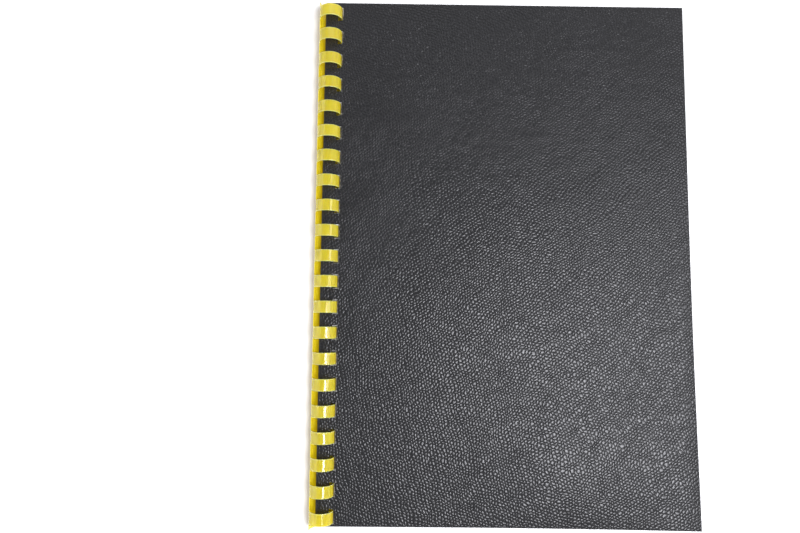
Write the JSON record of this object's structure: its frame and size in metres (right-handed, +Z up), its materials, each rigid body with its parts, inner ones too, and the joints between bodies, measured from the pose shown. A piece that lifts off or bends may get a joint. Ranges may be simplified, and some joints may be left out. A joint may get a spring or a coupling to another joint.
{
  "type": "comb bound document",
  "caption": "Document bound along its long edge by a curled plastic comb: leather-grain covers and loose punched leaves that turn about the rings.",
  "frame": {"origin": "on the table, under the middle of the whole document, comb included", "axes": "+X from the comb to the fore-edge, +Y along the comb towards the head of the document, +Z up out of the front cover"},
  "size_m": [0.2132, 0.3, 0.0136],
  "materials": {
    "cover_board": "satin, embossed leather grain on board",
    "paper": "matte uncoated",
    "comb_plastic": "soft gloss moulded plastic"
  },
  "bodies": {
    "back_cover": {"back_cover": "cover_board"},
    "front_cover": {"front_cover": "cover_board"},
    "sheet_01": {"sheet_01": "paper"},
    "sheet_02": {"sheet_02": "paper"},
    "sheet_03": {"sheet_03": "paper"},
    "sheet_04": {"sheet_04": "paper"},
    "sheet_05": {"sheet_05": "paper"},
    "sheet_06": {"sheet_06": "paper"},
    "sheet_07": {"sheet_07": "paper"},
    "sheet_08": {"sheet_08": "paper"},
    "sheet_09": {"sheet_09": "paper"},
    "sheet_10": {"sheet_10": "paper"},
    "sheet_11": {"sheet_11": "paper"},
    "sheet_12": {"sheet_12": "paper"},
    "sheet_13": {"sheet_13": "paper"},
    "sheet_14": {"sheet_14": "paper"},
    "sheet_15": {"sheet_15": "paper"},
    "sheet_16": {"sheet_16": "paper"},
    "sheet_17": {"sheet_17": "paper"},
    "sheet_18": {"sheet_18": "paper"},
    "sheet_19": {"sheet_19": "paper"},
    "sheet_20": {"sheet_20": "paper"},
    "sheet_21": {"sheet_21": "paper"},
    "sheet_22": {"sheet_22": "paper"},
    "sheet_23": {"sheet_23": "paper"},
    "sheet_24": {"sheet_24": "paper"},
    "sheet_25": {"sheet_25": "paper"},
    "sheet_26": {"sheet_26": "paper"},
    "sheet_27": {"sheet_27": "paper"},
    "sheet_28": {"sheet_28": "paper"},
    "binding_comb": {"binding_comb": "comb_plastic"}
  },
  "joints": [
    {"name": "front_cover_turn", "type": "hinge", "parent": "back_cover", "child": "front_cover", "pos_m": [-0.09992, 0, 0.007], "axis": [0, -1, 0], "range_deg": [0, 182.4]},
    {"name": "sheet_01_turn", "type": "hinge", "parent": "back_cover", "child": "sheet_01", "pos_m": [-0.09992, 0, 0.007], "axis": [0, -1, 0], "range_deg": [0, 175]},
    {"name": "sheet_02_turn", "type": "hinge", "parent": "back_cover", "child": "sheet_02", "pos_m": [-0.09992, 0, 0.007], "axis": [0, -1, 0], "range_deg": [0, 167.6]},
    {"name": "sheet_03_turn", "type": "hinge", "parent": "back_cover", "child": "sheet_03", "pos_m": [-0.09992, 0, 0.007], "axis": [0, -1, 0], "range_deg": [0, 160.3]},
    {"name": "sheet_04_turn", "type": "hinge", "parent": "back_cover", "child": "sheet_04", "pos_m": [-0.09992, 0, 0.007], "axis": [0, -1, 0], "range_deg": [0, 153.2]},
    {"name": "sheet_05_turn", "type": "hinge", "parent": "back_cover", "child": "sheet_05", "pos_m": [-0.09992, 0, 0.007], "axis": [0, -1, 0], "range_deg": [0, 146.2]},
    {"name": "sheet_06_turn", "type": "hinge", "parent": "back_cover", "child": "sheet_06", "pos_m": [-0.09992, 0, 0.007], "axis": [0, -1, 0], "range_deg": [0, 139.5]},
    {"name": "sheet_07_turn", "type": "hinge", "parent": "back_cover", "child": "sheet_07", "pos_m": [-0.09992, 0, 0.007], "axis": [0, -1, 0], "range_deg": [0, 133]},
    {"name": "sheet_08_turn", "type": "hinge", "parent": "back_cover", "child": "sheet_08", "pos_m": [-0.09992, 0, 0.007], "axis": [0, -1, 0], "range_deg": [0, 126.8]},
    {"name": "sheet_09_turn", "type": "hinge", "parent": "back_cover", "child": "sheet_09", "pos_m": [-0.09992, 0, 0.007], "axis": [0, -1, 0], "range_deg": [0, 120.8]},
    {"name": "sheet_10_turn", "type": "hinge", "parent": "back_cover", "child": "sheet_10", "pos_m": [-0.09992, 0, 0.007], "axis": [0, -1, 0], "range_deg": [0, 115.1]},
    {"name": "sheet_11_turn", "type": "hinge", "parent": "back_cover", "child": "sheet_11", "pos_m": [-0.09992, 0, 0.007], "axis": [0, -1, 0], "range_deg": [0, 109.6]},
    {"name": "sheet_12_turn", "type": "hinge", "parent": "back_cover", "child": "sheet_12", "pos_m": [-0.09992, 0, 0.007], "axis": [0, -1, 0], "range_deg": [0, 104.2]},
    {"name": "sheet_13_turn", "type": "hinge", "parent": "back_cover", "child": "sheet_13", "pos_m": [-0.09992, 0, 0.007], "axis": [0, -1, 0], "range_deg": [0, 99]},
    {"name": "sheet_14_turn", "type": "hinge", "parent": "back_cover", "child": "sheet_14", "pos_m": [-0.09992, 0, 0.007], "axis": [0, -1, 0], "range_deg": [0, 93.9]},
    {"name": "sheet_15_turn", "type": "hinge", "parent": "back_cover", "child": "sheet_15", "pos_m": [-0.09992, 0, 0.007], "axis": [0, -1, 0], "range_deg": [0, 88.7]},
    {"name": "sheet_16_turn", "type": "hinge", "parent": "back_cover", "child": "sheet_16", "pos_m": [-0.09992, 0, 0.007], "axis": [0, -1, 0], "range_deg": [0, 83.6]},
    {"name": "sheet_17_turn", "type": "hinge", "parent": "back_cover", "child": "sheet_17", "pos_m": [-0.09992, 0, 0.007], "axis": [0, -1, 0], "range_deg": [0, 78.4]},
    {"name": "sheet_18_turn", "type": "hinge", "parent": "back_cover", "child": "sheet_18", "pos_m": [-0.09992, 0, 0.007], "axis": [0, -1, 0], "range_deg": [0, 73]},
    {"name": "sheet_19_turn", "type": "hinge", "parent": "back_cover", "child": "sheet_19", "pos_m": [-0.09992, 0, 0.007], "axis": [0, -1, 0], "range_deg": [0, 67.5]},
    {"name": "sheet_20_turn", "type": "hinge", "parent": "back_cover", "child": "sheet_20", "pos_m": [-0.09992, 0, 0.007], "axis": [0, -1, 0], "range_deg": [0, 61.8]},
    {"name": "sheet_21_turn", "type": "hinge", "parent": "back_cover", "child": "sheet_21", "pos_m": [-0.09992, 0, 0.007], "axis": [0, -1, 0], "range_deg": [0, 55.8]},
    {"name": "sheet_22_turn", "type": "hinge", "parent": "back_cover", "child": "sheet_22", "pos_m": [-0.09992, 0, 0.007], "axis": [0, -1, 0], "range_deg": [0, 49.6]},
    {"name": "sheet_23_turn", "type": "hinge", "parent": "back_cover", "child": "sheet_23", "pos_m": [-0.09992, 0, 0.007], "axis": [0, -1, 0], "range_deg": [0, 43.1]},
    {"name": "sheet_24_turn", "type": "hinge", "parent": "back_cover", "child": "sheet_24", "pos_m": [-0.09992, 0, 0.007], "axis": [0, -1, 0], "range_deg": [0, 36.4]},
    {"name": "sheet_25_turn", "type": "hinge", "parent": "back_cover", "child": "sheet_25", "pos_m": [-0.09992, 0, 0.007], "axis": [0, -1, 0], "range_deg": [0, 29.4]},
    {"name": "sheet_26_turn", "type": "hinge", "parent": "back_cover", "child": "sheet_26", "pos_m": [-0.09992, 0, 0.007], "axis": [0, -1, 0], "range_deg": [0, 22.3]},
    {"name": "sheet_27_turn", "type": "hinge", "parent": "back_cover", "child": "sheet_27", "pos_m": [-0.09992, 0, 0.007], "axis": [0, -1, 0], "range_deg": [0, 15]},
    {"name": "sheet_28_turn", "type": "hinge", "parent": "back_cover", "child": "sheet_28", "pos_m": [-0.09992, 0, 0.007], "axis": [0, -1, 0], "range_deg": [0, 7.6]},
    {"name": "comb_turn", "type": "hinge", "parent": "back_cover", "child": "binding_comb", "pos_m": [-0.09992, 0, 0.007], "axis": [0, -1, 0], "range_deg": [0, 20.2]}
  ],
  "couplings": [
    {"joint": "sheet_01_turn", "follows": "front_cover_turn", "ratio": 0.95907},
    {"joint": "sheet_02_turn", "follows": "front_cover_turn", "ratio": 0.91844},
    {"joint": "sheet_03_turn", "follows": "front_cover_turn", "ratio": 0.8784},
    {"joint": "sheet_04_turn", "follows": "front_cover_turn", "ratio": 0.8392},
    {"joint": "sheet_05_turn", "follows": "front_cover_turn", "ratio": 0.80108},
    {"joint": "sheet_06_turn", "follows": "front_cover_turn", "ratio": 0.7642},
    {"joint": "sheet_07_turn", "follows": "front_cover_turn", "ratio": 0.72867},
    {"joint": "sheet_08_turn", "follows": "front_cover_turn", "ratio": 0.69453},
    {"joint": "sheet_09_turn", "follows": "front_cover_turn", "ratio": 0.66179},
    {"joint": "sheet_10_turn", "follows": "front_cover_turn", "ratio": 0.63034},
    {"joint": "sheet_11_turn", "follows": "front_cover_turn", "ratio": 0.60006},
    {"joint": "sheet_12_turn", "follows": "front_cover_turn", "ratio": 0.57074},
    {"joint": "sheet_13_turn", "follows": "front_cover_turn", "ratio": 0.54214},
    {"joint": "sheet_14_turn", "follows": "front_cover_turn", "ratio": 0.514},
    {"joint": "sheet_15_turn", "follows": "front_cover_turn", "ratio": 0.486},
    {"joint": "sheet_16_turn", "follows": "front_cover_turn", "ratio": 0.45786},
    {"joint": "sheet_17_turn", "follows": "front_cover_turn", "ratio": 0.42926},
    {"joint": "sheet_18_turn", "follows": "front_cover_turn", "ratio": 0.39994},
    {"joint": "sheet_19_turn", "follows": "front_cover_turn", "ratio": 0.36966},
    {"joint": "sheet_20_turn", "follows": "front_cover_turn", "ratio": 0.33821},
    {"joint": "sheet_21_turn", "follows": "front_cover_turn", "ratio": 0.30547},
    {"joint": "sheet_22_turn", "follows": "front_cover_turn", "ratio": 0.27133},
    {"joint": "sheet_23_turn", "follows": "front_cover_turn", "ratio": 0.2358},
    {"joint": "sheet_24_turn", "follows": "front_cover_turn", "ratio": 0.19892},
    {"joint": "sheet_25_turn", "follows": "front_cover_turn", "ratio": 0.1608},
    {"joint": "sheet_26_turn", "follows": "front_cover_turn", "ratio": 0.1216},
    {"joint": "sheet_27_turn", "follows": "front_cover_turn", "ratio": 0.081562},
    {"joint": "sheet_28_turn", "follows": "front_cover_turn", "ratio": 0.040932},
    {"joint": "comb_turn", "follows": "front_cover_turn", "ratio": 0.11}
  ]
}
